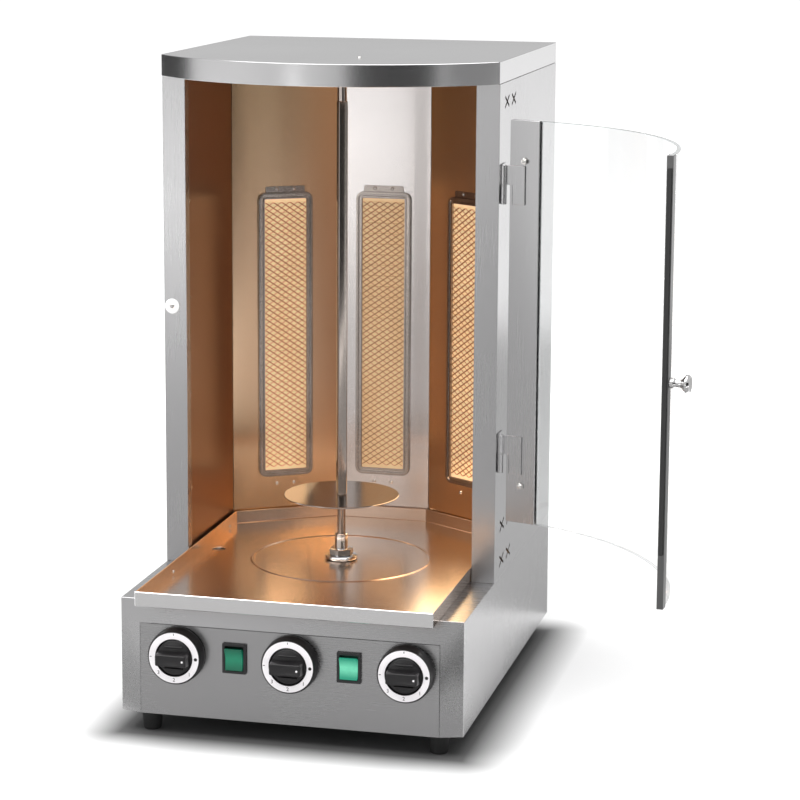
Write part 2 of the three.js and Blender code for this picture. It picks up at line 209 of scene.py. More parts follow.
def brushed(name, tint, roughness, grain="Z", contrast=0.04):
    steel = Finish(name, metallic=1.0, anisotropic=0.2)
    scratches = steel.noise(grain_scale(grain), detail=1.0)
    bands = steel.noise(grain_scale(grain, 60.0, 1.2), detail=1.0)
    smudges = steel.noise(7.0, detail=3.0)
    light = tuple(min(1.0, channel * (1 + contrast)) for channel in tint)
    dark = tuple(channel * (1 - contrast) for channel in tint)
    steel.set(
        base_color=steel.mix(scratches * 0.65 + bands * 0.35, dark, light),
        roughness=scratches * 0.03 + smudges * 0.06 + (roughness - 0.045),
        normal=steel.bump(scratches, 0.02, 0.0001),
    )
    return steel


PLAIN_STEEL = (0.54, 0.535, 0.54)
steel_upright = brushed("brushed_steel_upright", PLAIN_STEEL, 0.27, "Z")
steel_level = brushed("brushed_steel_level", PLAIN_STEEL, 0.27, "X")
# The cap's sheet is a lighter copy of the same steel: painted light, for the brighter light on its top.
steel_deep_painted_light = brushed("brushed_steel_deep", (0.60, 0.595, 0.60), 0.24, "Y")
print("brushed steels:", [f.material.name for f in (steel_upright, steel_level, steel_deep_painted_light)])

# %% [markdown]
# ## Heat-tinted steel, and a painted glow
# The chamber's liners are the same sheet, but months beside the heaters have tinted them straw and
# bronze. The tint is strongest level with the heaters and fades towards the floor and the ceiling,
# so it follows the height Z. The reflectors are cleaner than the side liners, but the side
# reflectors' strong gold is a painted reflection of the heaters' glow. The tray's front lip, which
# hangs outside the chamber, is bare.

# %% Heat tints
HEATER_LOW, HEATER_HIGH = 0.172, 0.497
BARE_LIP = (0.94, 0.93, 0.93)


def heat_tinted(name, base_and_painted_glow, tinted, roughness, bare_front=None):
    """Steel with a heat tint over a base colour, which on the side reflectors is a painted reflection of the
    heaters' glow; ahead of bare_front, along Y, it is plain.
    """
    steel = brushed(name, base_and_painted_glow, roughness, "Z", contrast=0.03)
    height = steel.axis("Z")
    mottle = steel.noise((9.0, 9.0, 3.0), detail=3.0)
    rising = height.fade(HEATER_LOW - 0.12, HEATER_LOW + 0.10)
    falling = 1 - height.fade(HEATER_HIGH - 0.05, HEATER_HIGH + 0.18)
    amount = rising * falling * (mottle * 0.7 + 0.5)
    grain = Wire(steel, steel.shader.inputs["Base Color"].links[0].from_socket)
    lifted = steel.mix(0.75, grain, steel.mix(amount, base_and_painted_glow, tinted))
    if bare_front is not None:
        inside = steel.axis("Y").fade(bare_front, bare_front + 2 * mm)
        lifted = steel.mix(inside, BARE_LIP, lifted)
    return steel.set(base_color=lifted)


liner_steel = heat_tinted("liner_steel", (0.44, 0.32, 0.25), (0.44, 0.27, 0.18), 0.30)
# The side reflectors' gold is a painted reflection of the heaters' glow, laid over their heat tint.
side_reflector_painted_glow = heat_tinted(
    "side_reflector_painted_glow", (0.98, 0.68, 0.40), (0.90, 0.62, 0.44), 0.24)
centre_reflector_steel = heat_tinted(
    "centre_reflector_steel", (0.84, 0.80, 0.79), (0.86, 0.80, 0.77), 0.22)
tray_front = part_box("drip_tray")[0].y
tray_steel = heat_tinted(
    "tray_steel", (0.86, 0.72, 0.62), (0.84, 0.66, 0.54), 0.22, tray_front + 0.6 * mm)

# %% [markdown]
# ## The other finishes
# Chrome is almost a mirror, with a trace of handling. Zinc plate shows the faint crystals called
# spangle, which Voronoi cells draw. Moulded black plastic has a fine grain in its bump. The ceramic
# glows: its emission is mottled, as the coil behind it heats it unevenly.

# %% Polished, plated and moulded finishes
def polished(name, tint, roughness):
    metal = Finish(name, metallic=1.0)
    smudges = metal.noise(60.0, detail=3.0)
    dark = tuple(channel * 0.93 for channel in tint)
    return metal.set(base_color=metal.mix(smudges, dark, tint), roughness=smudges * 0.08 + roughness)


def moulded(name, colour, roughness, grain=1500.0):
    plastic = Finish(name)
    fine = plastic.noise(grain, detail=2.0)
    broad = plastic.noise(40.0, detail=2.0)
    paler = tuple(min(1.0, channel * 1.35 + 0.004) for channel in colour)
    return plastic.set(
        base_color=plastic.mix(broad * 0.6, colour, paler),
        roughness=fine * 0.12 + broad * 0.06 + (roughness - 0.09),
        normal=plastic.bump(fine, 0.12, 0.0001),
    )


chrome = polished("chrome", (0.83, 0.82, 0.82), 0.06)
edge_steel = polished("edge_steel", (0.20, 0.20, 0.20), 0.28)
spit_steel = polished("spit_steel", (0.50, 0.44, 0.40), 0.14)
screw_steel = polished("screw_steel", (0.80, 0.78, 0.76), 0.16)
frame_steel = polished("pressed_frame_steel", (0.50, 0.44, 0.40), 0.20)
black_plastic = moulded("black_plastic", (0.012, 0.011, 0.012), 0.30)
socket_plastic = moulded("socket_plastic", (0.016, 0.016, 0.017), 0.42)
dial_print = moulded("dial_white", (0.76, 0.73, 0.75), 0.38, 900.0)
black_print = moulded("black_print", (0.010, 0.010, 0.010), 0.5, 900.0)
white_plastic = moulded("catch_plastic", (0.78, 0.78, 0.78), 0.35, 900.0)
rubber = moulded("rubber", (0.018, 0.018, 0.018), 0.72, 700.0)

zinc = Finish("zinc_plate", metallic=0.9)
spangle = {"Vector": zinc.place((110, 110, 110)), "Scale": 1.0}
cells = zinc.node("ShaderNodeTexVoronoi", {}, spangle, output="Color")
grey = zinc.node("ShaderNodeRGBToBW", {}, {0: cells})
zinc.set(
    base_color=zinc.mix(grey, (0.42, 0.44, 0.45), (0.60, 0.62, 0.63)),
    roughness=grey * 0.2 + 0.36,
)

# %% Guard mesh, ceramic and lit rockers
guard_wire = Finish("guard_wire", metallic=1.0)
browning = guard_wire.noise((30.0, 30.0, 12.0), detail=3.0)
guard_wire.set(
    base_color=guard_wire.mix(browning, (0.34, 0.18, 0.08), (0.62, 0.40, 0.22)),
    roughness=browning * 0.15 + 0.32,
)

def glowing_ceramic(bay, strength):
    tile = Finish(f"glowing_ceramic_{bay}", roughness=0.9, emission_strength=strength)
    mottle = tile.noise((26.0, 26.0, 9.0), detail=3.0)
    pores = tile.noise(900.0, detail=2.0)
    return tile.set(
        base_color=tile.mix(mottle, (0.72, 0.50, 0.30), (0.86, 0.68, 0.46)),
        emission_color=tile.mix(mottle, (0.70, 0.42, 0.20), (0.92, 0.66, 0.40)),
        normal=tile.bump(pores, 0.3, 0.0003),
    )


GLOW = {"left": 0.62, "centre": 0.42, "right": 0.66}
ceramics = {bay: glowing_ceramic(bay, strength) for bay, strength in GLOW.items()}


def lit_rocker(name, deep, bright, strength):
    """Green translucent plastic with a lamp behind its middle."""
    lamp = Finish(name, roughness=0.32, emission_strength=strength, coat_weight=0.1)
    height = lamp.axis("Z")
    centre = height.fade(0.056, 0.064) * (1 - height.fade(0.067, 0.076))
    cloud = lamp.noise(160.0, detail=2.0)
    glow = lamp.mix(centre * (cloud * 0.5 + 0.6), deep, bright)
    return lamp.set(base_color=(0.005, 0.10, 0.055), emission_color=glow)


rocker_finishes = [
    lit_rocker("rocker_green", (0.0, 0.045, 0.025), (0.01, 0.20, 0.11), 0.7),
    lit_rocker("rocker_green_bright", (0.02, 0.30, 0.19), (0.24, 0.86, 0.58), 0.8),
]

door_glass = Finish("door_glass", ior=1.48, transmission_weight=1.0)
haze = door_glass.noise(25.0, detail=3.0)
pane_low, pane_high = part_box("door_glass")
pane_height = door_glass.axis("Z")
RIM_IN, RIM_OUT = 0.8 * mm, 0.3 * mm
upper_rim = pane_height.fade(pane_high.z - RIM_IN, pane_high.z - RIM_OUT)
rim = upper_rim + 1 - pane_height.fade(pane_low.z + RIM_OUT, pane_low.z + RIM_IN)
door_glass.set(
    base_color=door_glass.mix(rim, (0.93, 0.985, 0.98), (0.10, 0.13, 0.13)),
    roughness=haze.fade(0.55, 0.95) * 0.02,
    alpha=rim * 0.45 + 0.16,
)
print("finishes:", len(bpy.data.materials))

# %% [markdown]
# ## Working by hand, in code
# An operator acts on what is selected, so each piece starts with nothing selected. `block` adds a box
# of a given size. `settle` ends a piece: its place goes into its mesh, it gets its finish, it rides on
# a body and, where a CAD node is named, it stands for that node. `skin` takes a part whose shape is
# already right, welds its loose triangles, melts flat ones together and breaks every sharp fold with
# a tiny chamfer, as a folded sheet really has.

# %% Helpers for objects
def deselect():
    if bpy.context.object and bpy.context.object.mode == "EDIT":
        bpy.ops.object.mode_set(mode="OBJECT")
    bpy.ops.object.select_all(action="DESELECT")


def pick(obj):
    deselect()
    obj.select_set(True)
    bpy.context.view_layer.objects.active = obj


def edit(obj, everything=True):
    pick(obj)
    bpy.ops.object.mode_set(mode="EDIT")
    bpy.ops.mesh.select_mode(type="VERT")
    bpy.ops.mesh.select_all(action="SELECT" if everything else "DESELECT")


def leave_edit():
    bpy.ops.object.mode_set(mode="OBJECT")


def select_faces(obj, test):
    """In edit mode, selects the faces whose centre and normal pass the test."""
    bpy.ops.mesh.select_mode(type="FACE")
    mesh = bmesh.from_edit_mesh(obj.data)
    for face in mesh.faces:
        face.select_set(bool(test(face.calc_center_median(), face.normal)))
    mesh.select_flush_mode()
    bmesh.update_edit_mesh(obj.data)


def block(place, size, turned=0.0):
    """A box of this size, turned about its own upright line."""
    deselect()
    bpy.ops.mesh.primitive_cube_add(size=1, location=place, rotation=(0, 0, turned))
    made = bpy.context.object
    made.scale = size
    bpy.ops.object.transform_apply(location=True, rotation=True, scale=True)
    return made


def modify(obj, kind, **settings):
    pick(obj)
    modifier = obj.modifiers.new(kind.lower(), kind)
    for name, value in settings.items():
        setattr(modifier, name, value)
    bpy.ops.object.modifier_apply(modifier=modifier.name)
    return obj


def settle(obj, name, finish, body, slot, *nodes, smooth=30):
    pick(obj)
    bpy.ops.object.transform_apply(location=True, rotation=True, scale=True)
    bpy.ops.object.shade_smooth_by_angle(angle=math.radians(smooth))
    obj.name = obj.data.name = name
    if not obj.data.materials:
        obj.data.materials.append(finish.material)
    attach(obj, body)
    if nodes:
        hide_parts(*nodes)
    return obj


def part_body(node):
    return frame["nodes"][node]["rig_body"]


SLOT_OF = {part["node"]: part["material_slot"] for part in frame["record"]["subparts"]}


FOLD = math.radians(32)


def skin(node, finish, chamfer=0.35 * mm, smooth=30, steps=1):
    cad = frame["nodes"][node]
    copy = bpy.data.objects.new(f"{node}_skin", cad.data.copy())
    bpy.context.scene.collection.objects.link(copy)
    copy.data.materials.clear()
    edit(copy)
    bpy.ops.mesh.remove_doubles(threshold=0.00002)
    bpy.ops.mesh.dissolve_limited(angle_limit=math.radians(0.6))
    leave_edit()
    modify(copy, "BEVEL", width=chamfer, segments=steps, limit_method="ANGLE", angle_limit=FOLD)
    settle(copy, f"{node}_skin", finish, part_body(node), SLOT_OF[node], node, smooth=smooth)
    return modify(copy, "WEIGHTED_NORMAL", keep_sharp=True)


def middle(node):
    low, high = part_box(node)
    return (low + high) / 2


# %% [markdown]
# ## Turned pieces
# Knobs, bushes, feet and screws come off a lathe. A circle is added, then extruded along its axis
# and scaled, once for each step of the profile, just as a turner works down a bar. A profile is a
# list of radius and height in millimetres.

# %% The lathe
AXES = {"Z": Matrix.Identity(4),
        "-Y": Matrix.Rotation(math.pi / 2, 4, "X"),
        "Y": Matrix.Rotation(-math.pi / 2, 4, "X")}


def lathe(profile, segments=64, hollow=False):
    """A solid turned about Z, or a ring if hollow: then the profile's last point meets its first."""
    deselect()
    radius, height = profile[0]
    bpy.ops.mesh.primitive_circle_add(vertices=segments, radius=radius * mm, location=(0, 0, height * mm),
                                      fill_type="NOTHING" if hollow else "NGON")
    obj = bpy.context.object
    bpy.ops.object.transform_apply(location=True)
    edit(obj)
    for next_radius, next_height in profile[1:]:
        rise = (0, 0, (next_height - height) * mm)
        bpy.ops.mesh.extrude_region_move(TRANSFORM_OT_translate={"value": rise})
        grow = next_radius / radius
        bpy.ops.transform.resize(value=(grow, grow, 1), center_override=(0, 0, next_height * mm))
        radius, height = next_radius, next_height
    bpy.ops.mesh.select_all(action="SELECT")
    bpy.ops.mesh.remove_doubles(threshold=0.000001)
    bpy.ops.mesh.normals_make_consistent(inside=False)
    leave_edit()
    return obj


def put(obj, place, axis="Z"):
    obj.matrix_world = Matrix.Translation(Vector(place)) @ AXES[axis]
    pick(obj)
    bpy.ops.object.transform_apply(location=True, rotation=True, scale=True)
    return obj


def twin(obj, name):
    """A copy with its own mesh."""
    copy = bpy.data.objects.new(name, obj.data.copy())
    bpy.context.scene.collection.objects.link(copy)
    return copy


def joined(objects):
    """Several meshes as one piece."""
    deselect()
    for obj in objects:
        obj.select_set(True)
    bpy.context.view_layer.objects.active = objects[0]
    bpy.ops.object.join()
    return bpy.context.object


# %% [markdown]
# ## Sheet metal
# The shells, panels and liners keep their CAD shape. Each gets a skin with broken edges, and the
# grain of its sheet: upright on the sides, across on the base front, and front to back on the top.

# %% Sheet-metal skins
for node in ("left_side_panel", "right_side_panel", "rear_cover", "base_rear_panel",
             "hinge_leaf_lower", "hinge_leaf_upper", "door_hinge_lower", "door_hinge_upper"):
    skin(node, steel_upright)
for node in ("base_shell", "control_panel"):
    skin(node, steel_level)
for node in ("left_liner", "right_liner"):
    skin(node, liner_steel)
for node in ("reflector_left", "reflector_right"):
    skin(node, side_reflector_painted_glow)
skin("reflector_centre", centre_reflector_steel)
skin("ceiling_plate", liner_steel)
skin("drip_tray", tray_steel, chamfer=0.5 * mm, smooth=12)
for node in ("door_clamp_outer", "door_clamp_inner"):
    skin(node, steel_upright)
skin("door_edge_profile", edge_steel, chamfer=0.2 * mm)
skin("door_seal", rubber, chamfer=0.3 * mm)
for node in ("base_floor", "gearbox", "gear_motor"):
    skin(node, zinc, chamfer=0.5 * mm)

# %% [markdown]
# ## The cap
# The top cover is one sheet with a bowed front. A disc of the front's radius is cut square at the
# sides and across the middle, and its back face is drawn out to the rear. The underside is then
# opened, the sheet is given its thickness, and its sharp edges get a small chamfer.

# %% Cap
SHARP = math.radians(50)


def cut_away(obj, *planes):
    """Cuts off what lies beyond each plane, given as a point and the way out, and fills the cut."""
    for point, normal in planes:
        edit(obj)
        bpy.ops.mesh.bisect(plane_co=point, plane_no=normal, clear_outer=True, use_fill=True)
        leave_edit()


cap_low, cap_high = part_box("top_cover")
CAP_SIDE = cap_high.x
CAP_CORNER_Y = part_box("left_side_panel")[0].y - 2 * mm
cap_bulge = CAP_CORNER_Y - cap_low.y
cap_radius = (CAP_SIDE ** 2 + cap_bulge ** 2) / (2 * cap_bulge)

deselect()
bpy.ops.mesh.primitive_cylinder_add(vertices=720, radius=cap_radius, depth=cap_high.z - cap_low.z,
                                    location=(0, cap_low.y + cap_radius, (cap_low.z + cap_high.z) / 2))
cap = bpy.context.object
bpy.ops.object.transform_apply(location=True)
cut_away(cap, ((CAP_SIDE, 0, 0), (1, 0, 0)), ((-CAP_SIDE, 0, 0), (-1, 0, 0)),
         ((0, CAP_CORNER_Y + mm, 0), (0, 1, 0)))
edit(cap, everything=False)
select_faces(cap, lambda centre, normal: normal.y > 0.9)
bpy.ops.mesh.extrude_region_move(TRANSFORM_OT_translate={"value": (0, cap_high.y - CAP_CORNER_Y - mm, 0)})
bpy.ops.mesh.select_all(action="DESELECT")
select_faces(cap, lambda centre, normal: normal.z < -0.9)
bpy.ops.mesh.delete(type="FACE")
leave_edit()
modify(cap, "SOLIDIFY", thickness=1.2 * mm, offset=-1)
modify(cap, "BEVEL", width=0.6 * mm, segments=1, limit_method="ANGLE", angle_limit=SHARP)
settle(cap, "top_cover_folded", steel_deep_painted_light, part_body("top_cover"), "stainless", "top_cover")
print("cap radius", round(cap_radius, 4), "faces", len(cap.data.polygons))

# %% [markdown]
# ## Screws
# A pan-head screw is a low dome on a short skirt with a cross recess. It is turned once, two
# crossed bars are cut out of its top with a boolean, and each copy is turned and put where the
# sheet is fastened.

# %% A screw
def dome(radius, height, steps=5, skirt=0.25):
    """A profile: a short upright skirt, then an arc over the top."""
    points = [(radius, 0.0), (radius, height * skirt)]
    for step in range(1, steps + 1):
        angle = math.pi / 2 * step / steps
        points.append((max(radius * math.cos(angle), 0.04), height * (skirt + (1 - skirt) * math.sin(angle))))
    return points


def pan_head(radius=2.6, height=1.7):
    screw = lathe(dome(radius, height), segments=24)
    deselect()
    for turned in (0, math.pi / 2):
        bpy.ops.mesh.primitive_cube_add(size=1, location=(0, 0, height * mm), rotation=(0, 0, turned))
        slot_cutter = bpy.context.object
        slot_cutter.scale = (radius * 1.1 * mm, radius * 0.28 * mm, height * 0.9 * mm)
        modify(screw, "BOOLEAN", object=slot_cutter, operation="DIFFERENCE", solver="EXACT")
        bpy.data.objects.remove(slot_cutter)
    return screw


screw_master = pan_head()
screw_master.name = "screw_master"


def screws(name, body, places, scale=1.0):
    """places is a list of (point, outward direction); the copies are joined as one piece."""
    copies = []
    for point, outward in places:
        copy = twin(screw_master, name)
        facing = Vector(outward).to_track_quat("Z", "Y").to_matrix().to_4x4()
        copy.matrix_world = Matrix.Translation(Vector(point)) @ facing @ Matrix.Scale(scale, 4)
        copies.append(copy)
    piece = joined(copies)
    return settle(piece, name, screw_steel, body, "polished_steel", smooth=40)


# %% [markdown]
# ## Heater bays
# The two outer reflectors stand at an angle, which the box of one of them gives. Each bay's pieces
# are made flat, facing the front at the origin, and then turned and moved to their bay.

# %% Where the bays are
SHEET = 1.2 * mm
reflector_low, reflector_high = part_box("reflector_right")
slant = math.atan2(reflector_high.y - reflector_low.y, reflector_high.x - reflector_low.x)
for _ in range(3):
    slant = math.atan2(reflector_high.y - reflector_low.y - SHEET * math.cos(slant),
                       reflector_high.x - reflector_low.x - SHEET * math.sin(slant))
BAY_TURNS = {"left": slant, "centre": 0.0, "right": -slant}
HEATER_Z = middle("heater_frame_centre").z


def bay_matrix(bay):
    """From the flat drawing, whose Y 0 is the reflector's front face, to the bay."""
    turn = Matrix.Rotation(BAY_TURNS[bay], 4, "Z")
    centre = middle(f"reflector_{bay}")
    centre.z = HEATER_Z
    return Matrix.Translation(centre) @ turn @ Matrix.Translation((0, -SHEET / 2, 0))


def to_bay(master, bay, name, finish, slot, *nodes, smooth=30):
    copy = twin(master, name)
    copy.matrix_world = bay_matrix(bay)
    return settle(copy, name, finish, part_body(f"reflector_{bay}"), slot, *nodes, smooth=smooth)


print("reflectors stand at", round(math.degrees(slant), 1), "degrees")

# %% [markdown]
# ### The pressed frame
# A heater frame is a strip of sheet pressed into a ring with a raised outer rim and a lower inner
# lip. A plane is rounded at its corners, then inset and drawn out step by step. The middle goes, and
# so does the first plane, which extruding leaves behind. A small clip stands above each frame.

# %% Pressed frame
FRAME_WIDTH, FRAME_HEIGHT = 63 * mm, 325 * mm
FRAME_BACK = -0.3 * mm


def flat_panel(width, height, corner):
    """A rounded rectangle that faces the front, just ahead of the reflector."""
    deselect()
    bpy.ops.mesh.primitive_plane_add(size=1, location=(0, FRAME_BACK, 0),
                                     rotation=(math.pi / 2, 0, 0))
    panel = bpy.context.object
    panel.scale = (width, height, 1)
    bpy.ops.object.transform_apply(location=True, rotation=True, scale=True)
    edit(panel)
    bpy.ops.mesh.bevel(offset=corner, segments=5, affect="VERTICES")
    bpy.ops.mesh.select_all(action="SELECT")
    return panel


def push(inset, out):
    """Insets the selected face, then moves it along Y: minus is towards the front."""
    if inset:
        bpy.ops.mesh.inset(thickness=inset)
    if out:
        bpy.ops.mesh.extrude_region_move(TRANSFORM_OT_translate={"value": (0, out, 0)})


pressed = flat_panel(FRAME_WIDTH, FRAME_HEIGHT, 8 * mm)
for inset, out in ((0, -2.4), (0.6, -0.7), (1.7, 0), (0.5, 1.3), (1.9, 0), (0.4, -0.8),
                   (1.2, 0), (0.4, 1.6), (0.5, 0)):
    push(inset * mm, out * mm)
bpy.ops.mesh.delete(type="FACE")
select_faces(pressed, lambda centre, normal: centre.y > FRAME_BACK - 0.1 * mm and abs(normal.y) > 0.9)
bpy.ops.mesh.delete(type="FACE")
bpy.ops.mesh.select_all(action="SELECT")
bpy.ops.mesh.normals_make_consistent(inside=False)
leave_edit()
modify(pressed, "SOLIDIFY", thickness=0.5 * mm, offset=0)
for bay in BAY_TURNS:
    to_bay(pressed, bay, f"heater_frame_pressed_{bay}", frame_steel, "polished_steel",
           f"heater_frame_{bay}", smooth=50)
bpy.data.objects.remove(pressed)

CLIP_Z = FRAME_HEIGHT / 2 + 3 * mm
clip = flat_panel(46 * mm, 8.5 * mm, 2 * mm)
leave_edit()
clip.location.z = CLIP_Z
modify(clip, "SOLIDIFY", thickness=0.8 * mm, offset=0.2)
modify(clip, "BEVEL", width=0.2 * mm, segments=1, limit_method="ANGLE", angle_limit=SHARP)
for bay in BAY_TURNS:
    copy = twin(clip, f"heater_clip_{bay}")
    copy.matrix_world = bay_matrix(bay) @ Matrix.Translation((0, 0, CLIP_Z))
    settle(copy, f"heater_clip_{bay}", frame_steel, part_body(f"reflector_{bay}"), "polished_steel")
bpy.data.objects.remove(clip)

# %% [markdown]
# ### The guard
# Expanded metal is slit and stretched, so its openings are diamonds and its strands lie a little
# tilted. One diamond ring is made, tilted, and repeated in three arrays: across, once more by half a
# step over and up, and then upwards. What overhangs the frame is cut away by four bisects.

# %% Expanded-metal guard
CELL_WIDTH, CELL_HEIGHT = 9.6 * mm, 6.6 * mm
GUARD_WIDTH, GUARD_HEIGHT = 48 * mm, 303 * mm

deselect()
bpy.ops.mesh.primitive_circle_add(vertices=4, radius=0.5, fill_type="NGON", rotation=(math.pi / 2, 0, 0))
cell = bpy.context.object
cell.scale = (CELL_WIDTH, CELL_HEIGHT, 1)
bpy.ops.object.transform_apply(rotation=True, scale=True)
edit(cell)
bpy.ops.mesh.inset(thickness=0.44 * mm)
bpy.ops.mesh.delete(type="FACE")
bpy.ops.mesh.select_all(action="SELECT")
bpy.ops.transform.rotate(value=math.radians(16), orient_axis="X", center_override=(0, 0, 0))
leave_edit()
modify(cell, "SOLIDIFY", thickness=0.55 * mm, offset=0)
columns = math.ceil(GUARD_WIDTH / CELL_WIDTH) + 1
rows = math.ceil(GUARD_HEIGHT / CELL_HEIGHT) + 1
array = {"fit_type": "FIXED_COUNT", "use_relative_offset": False, "use_constant_offset": True}
modify(cell, "ARRAY", count=columns, constant_offset_displace=(CELL_WIDTH, 0, 0), **array)
modify(cell, "ARRAY", count=2, constant_offset_displace=(CELL_WIDTH / 2, 0, CELL_HEIGHT / 2), **array)
modify(cell, "ARRAY", count=rows, constant_offset_displace=(0, 0, CELL_HEIGHT), **array)
cell.location = (-columns * CELL_WIDTH / 2, -1.9 * mm, -rows * CELL_HEIGHT / 2)
bpy.ops.object.transform_apply(location=True)
cut_away(cell, ((GUARD_WIDTH / 2, 0, 0), (1, 0, 0)), ((-GUARD_WIDTH / 2, 0, 0), (-1, 0, 0)),
         ((0, 0, GUARD_HEIGHT / 2), (0, 0, 1)), ((0, 0, -GUARD_HEIGHT / 2), (0, 0, -1)))
for bay in BAY_TURNS:
    to_bay(cell, bay, f"heater_mesh_{bay}", guard_wire, "guard_wire", f"heater_guard_{bay}", smooth=20)
print("mesh guard:", len(cell.data.polygons), "faces,", columns, "x", rows, "cells")
bpy.data.objects.remove(cell)

# %% [markdown]
# ### The ceramic plate
# The heater behind the mesh is a fired tile with shallow grooves that hold the coil. The tile is cut
# into rows by level bisects, and every second row of its face is inset and pushed in.

# %% Ceramic plate
PLATE_WIDTH, PLATE_HEIGHT = 54 * mm, 314 * mm
GROOVES = 26

tile = block((0, 7.25 * mm, 0), (PLATE_WIDTH, 13.5 * mm, PLATE_HEIGHT))
for step in range(1, 2 * GROOVES):
    edit(tile)
    height = PLATE_HEIGHT * (step / (2 * GROOVES) - 0.5)
    bpy.ops.mesh.bisect(plane_co=(0, 0, height), plane_no=(0, 0, 1))
    leave_edit()
edit(tile, everything=False)
groove_height = PLATE_HEIGHT / (2 * GROOVES)
select_faces(tile, lambda c, n: n.y < -0.9 and int((c.z + PLATE_HEIGHT / 2) / groove_height) % 2)
bpy.ops.mesh.inset(thickness=0.7 * mm, use_individual=True)
bpy.ops.transform.translate(value=(0, 1.6 * mm, 0))
leave_edit()
for bay in BAY_TURNS:
    to_bay(tile, bay, f"heater_tile_{bay}", ceramics[bay], "ceramic", f"heater_plate_{bay}")
bpy.data.objects.remove(tile)

# %% [markdown]
# ### Screws around the cabinet
# Each heater frame has two screws in its clip and two below it. Five screws hold each side liner to
# its front post, two stand in the tray's left wall, and others hold the rear panels and the cap.

# %% Chamber screws
liner_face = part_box("left_liner")[1].x
post_inner_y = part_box("left_liner")[0].y
for bay in BAY_TURNS:
    at = bay_matrix(bay)
    outward = at.to_3x3() @ Vector((0, -1, 0))
    spots = []
    for rise, clear in ((CLIP_Z + 1 * mm, -0.7 * mm), (-FRAME_HEIGHT / 2 - 9 * mm, 0)):
        spots += [(at @ Vector((across, clear, rise)), outward) for across in (-10 * mm, 10 * mm)]
    screws(f"heater_screws_{bay}", part_body(f"reflector_{bay}"), spots, 0.8)

POST_SCREWS = [0.197 + 0.104 * step for step in range(5)]
for hand, side in (("left", 1), ("right", -1)):
    x = -side * abs(liner_face)
    spots = [((x, post_inner_y + 5 * mm, z), (side, 0, 0)) for z in POST_SCREWS]
    screws(f"{hand}_liner_screws", part_body(f"{hand}_liner"), spots, 0.75)

tray_low, tray_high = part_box("drip_tray")
wall_x = tray_low.x + SHEET
tray_spots = [((wall_x, y, tray_high.z - 11 * mm), (1, 0, 0)) for y in (-0.136, 0.064)]
screws("tray_screws", part_body("drip_tray"), tray_spots, 0.7)

rear_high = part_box("rear_cover")[1]
rear_spots = [((side * (rear_high.x - 8 * mm), rear_high.y, z), (0, 1, 0))
              for side in (-1, 1) for z in (0.150, 0.270, 0.390, 0.510, 0.620)]
screws("rear_cover_screws", part_body("rear_cover"), rear_spots)
base_rear_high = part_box("base_rear_panel")[1]
base_rear_spots = [((x, base_rear_high.y, base_rear_high.z - 10 * mm), (0, 1, 0))
                   for x in (-0.160, 0.0, 0.160)]
screws("base_rear_screws", part_body("base_rear_panel"), base_rear_spots)
screws("cap_screw", part_body("top_cover"), [((0.030, -0.070, cap_high.z), (0, 0, 1))], 0.9)

# %% [markdown]
# ## The drive, the spit and the plate
# The flange nut has six flats above a round washer face. The spit is a square bar between round
# ends, and the plate is a thin disc with a softened edge. All turn about the same upright line.

# %% Spit and drive
axis_x, axis_y = middle("spit_rod").x, middle("drive_socket").y
spit_low, spit_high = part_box("spit_rod")
plate_low, plate_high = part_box("meat_plate")


def height_of(z):
    return z / mm


def on_axis(profile, segments=64, hollow=False):
    """Turned about the spit's own line."""
    return put(lathe(profile, segments, hollow), (axis_x, axis_y, 0))


top = height_of(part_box("drive_socket")[1].z)
flange = on_axis([(5, 100), (5, 121), (6.5, 121), (6.5, 121.3), (17.4, 121.3), (17.7, 121.9),
                  (17.7, 123.6), (17.2, 124.3), (12.2, 125.0)], segments=96)
nut = on_axis([(12.2, 124.8), (12.2, 125.0), (13.2, 125.4), (13.2, 131.4), (12.2, 132.0),
               (8.4, 132.2)], segments=6)
collar = on_axis([(7.0, 131.8), (7.0, top - 0.8), (6.4, top), (4.9, top), (4.75, top - 0.6),
                  (4.75, top - 4)])
socket = joined([flange, nut, collar])
settle(socket, "drive_socket_turned", chrome, part_body("drive_socket"), "polished_steel",
       "drive_socket", smooth=35)

BAR = 10 * mm
BAR_TOP = 0.615
BAR_TURN = math.radians(30)
bar_middle = (axis_x, axis_y, (plate_high.z + BAR_TOP) / 2 + 0.3 * mm)
bar = block(bar_middle, (BAR, BAR, BAR_TOP - plate_high.z), BAR_TURN)
modify(bar, "BEVEL", width=1.1 * mm, segments=3)
pin_low = height_of(spit_low.z)
pin = on_axis([(3.4, pin_low), (4.3, pin_low + 1), (4.3, 186), (7.4, 186), (8, 186.5), (8, 189.2),
               (7.6, 189.7), (4.3, 189.7), (4.3, 193)], segments=48)
tip = height_of(spit_high.z)
point = on_axis([(4.8, 612), (4.8, tip - 2), (3.2, tip), (0.05, tip)], segments=48)
spit = joined([bar, pin, point])
settle(spit, "spit_rod_turned", spit_steel, part_body("spit_rod"), "polished_steel", "spit_rod", smooth=35)

plate_z = height_of(plate_low.z)
plate_r = height_of(plate_high.x - axis_x)
plate = on_axis([(4.7, plate_z), (plate_r - 0.5, plate_z), (plate_r, plate_z + 0.4),
                 (plate_r, plate_z + 1.1), (plate_r - 0.5, plate_z + 1.5), (4.7, plate_z + 1.5),
                 (4.7, plate_z)], segments=160, hollow=True)
settle(plate, "meat_plate_turned", spit_steel, part_body("meat_plate"), "polished_steel",
       "meat_plate", smooth=35)

